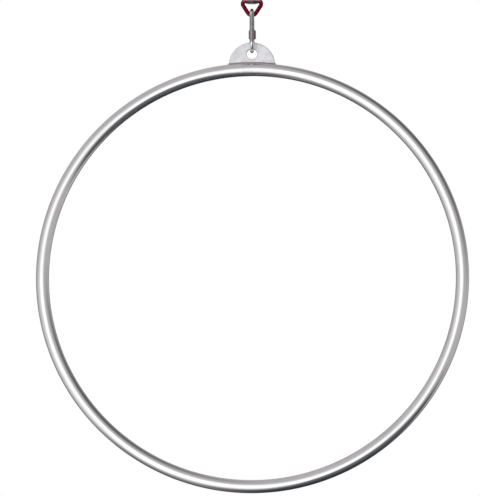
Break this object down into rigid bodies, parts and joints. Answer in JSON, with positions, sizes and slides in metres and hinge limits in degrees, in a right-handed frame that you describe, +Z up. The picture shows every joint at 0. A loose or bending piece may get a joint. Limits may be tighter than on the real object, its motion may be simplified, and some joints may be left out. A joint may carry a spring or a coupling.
{
  "type": "aerial lyra hoop",
  "caption": "Round steel aerial hoop with a welded tab, hung from a screw-gate carabiner and a ball-bearing swivel.",
  "frame": {"origin": "bearing point on the inner curve of the swivel's upper eye, which the whole set hangs from", "axes": "+Z up, +X across the hoop, +Y away from the viewer, through the hoop"},
  "size_m": [0.7997, 0.0468, 0.9719],
  "materials": {
    "polished_steel": "polished stainless tube with a fine grain along it",
    "weld_metal": "weld bead, brushed",
    "zinc_plate": "satin plate, slightly mottled",
    "plated_steel": "bright plated steel",
    "red_anodised": "dark crimson anodised, satin",
    "black_polymer": "smooth black",
    "seal_rubber": "plain black",
    "bearing_steel": "ground and polished",
    "bronze": "machined"
  },
  "bodies": {
    "anchor": {"swivel_upper_eye": "red_anodised", "swivel_axle": "plated_steel", "axle_lock_pin": "plated_steel", "bearing_race_lower": "bearing_steel"},
    "ball_cage": {"bearing_cage": "bronze", "bearing_ball_01": "bearing_steel", "bearing_ball_02": "bearing_steel", "bearing_ball_03": "bearing_steel", "bearing_ball_04": "bearing_steel", "bearing_ball_05": "bearing_steel", "bearing_ball_06": "bearing_steel", "bearing_ball_07": "bearing_steel", "bearing_ball_08": "bearing_steel", "bearing_ball_09": "bearing_steel", "bearing_ball_10": "bearing_steel"},
    "spinner": {"swivel_lower_eye": "red_anodised", "bearing_race_upper": "bearing_steel", "radial_bush": "bronze", "dust_seal": "seal_rubber", "bearing_cap": "black_polymer"},
    "carabiner": {"carabiner_body": "plated_steel", "gate_hinge_rivet": "plated_steel"},
    "gate": {"gate_barrel": "plated_steel", "gate_latch_pin": "plated_steel"},
    "sleeve": {"screw_sleeve": "red_anodised"},
    "hoop": {"hoop_tube": "polished_steel", "seam_weld": "weld_metal", "tab_plate": "zinc_plate", "tab_weld": "weld_metal"}
  },
  "joints": [
    {"name": "swivel_spin", "type": "hinge", "parent": "anchor", "child": "spinner", "pos_m": [0, 0, -0.0348], "axis": [0, 0, 1], "continuous": true},
    {"name": "ball_cage_spin", "type": "hinge", "parent": "anchor", "child": "ball_cage", "pos_m": [0, 0, -0.0348], "axis": [0, 0, 1], "continuous": true},
    {"name": "carabiner_swing", "type": "hinge", "parent": "spinner", "child": "carabiner", "pos_m": [0, 0, -0.0735], "axis": [1, 0, 0], "range_deg": [-65, 65]},
    {"name": "hoop_swing", "type": "hinge", "parent": "carabiner", "child": "hoop", "pos_m": [0, 0, -0.1423], "axis": [0, 1, 0], "range_deg": [-60, 60]},
    {"name": "gate_hinge", "type": "hinge", "parent": "carabiner", "child": "gate", "pos_m": [0, 0.018, -0.1253], "axis": [-1, 0, 0], "range_deg": [-25, 0], "stiffness_Nm_per_rad": 0.2, "springref_deg": 57.3},
    {"name": "sleeve_travel", "type": "slide", "parent": "gate", "child": "sleeve", "axis": [0, 0, 1], "range_m": [0, 0.011]}
  ],
  "couplings": [
    {"joint": "ball_cage_spin", "follows": "swivel_spin", "ratio": 0.5}
  ]
}
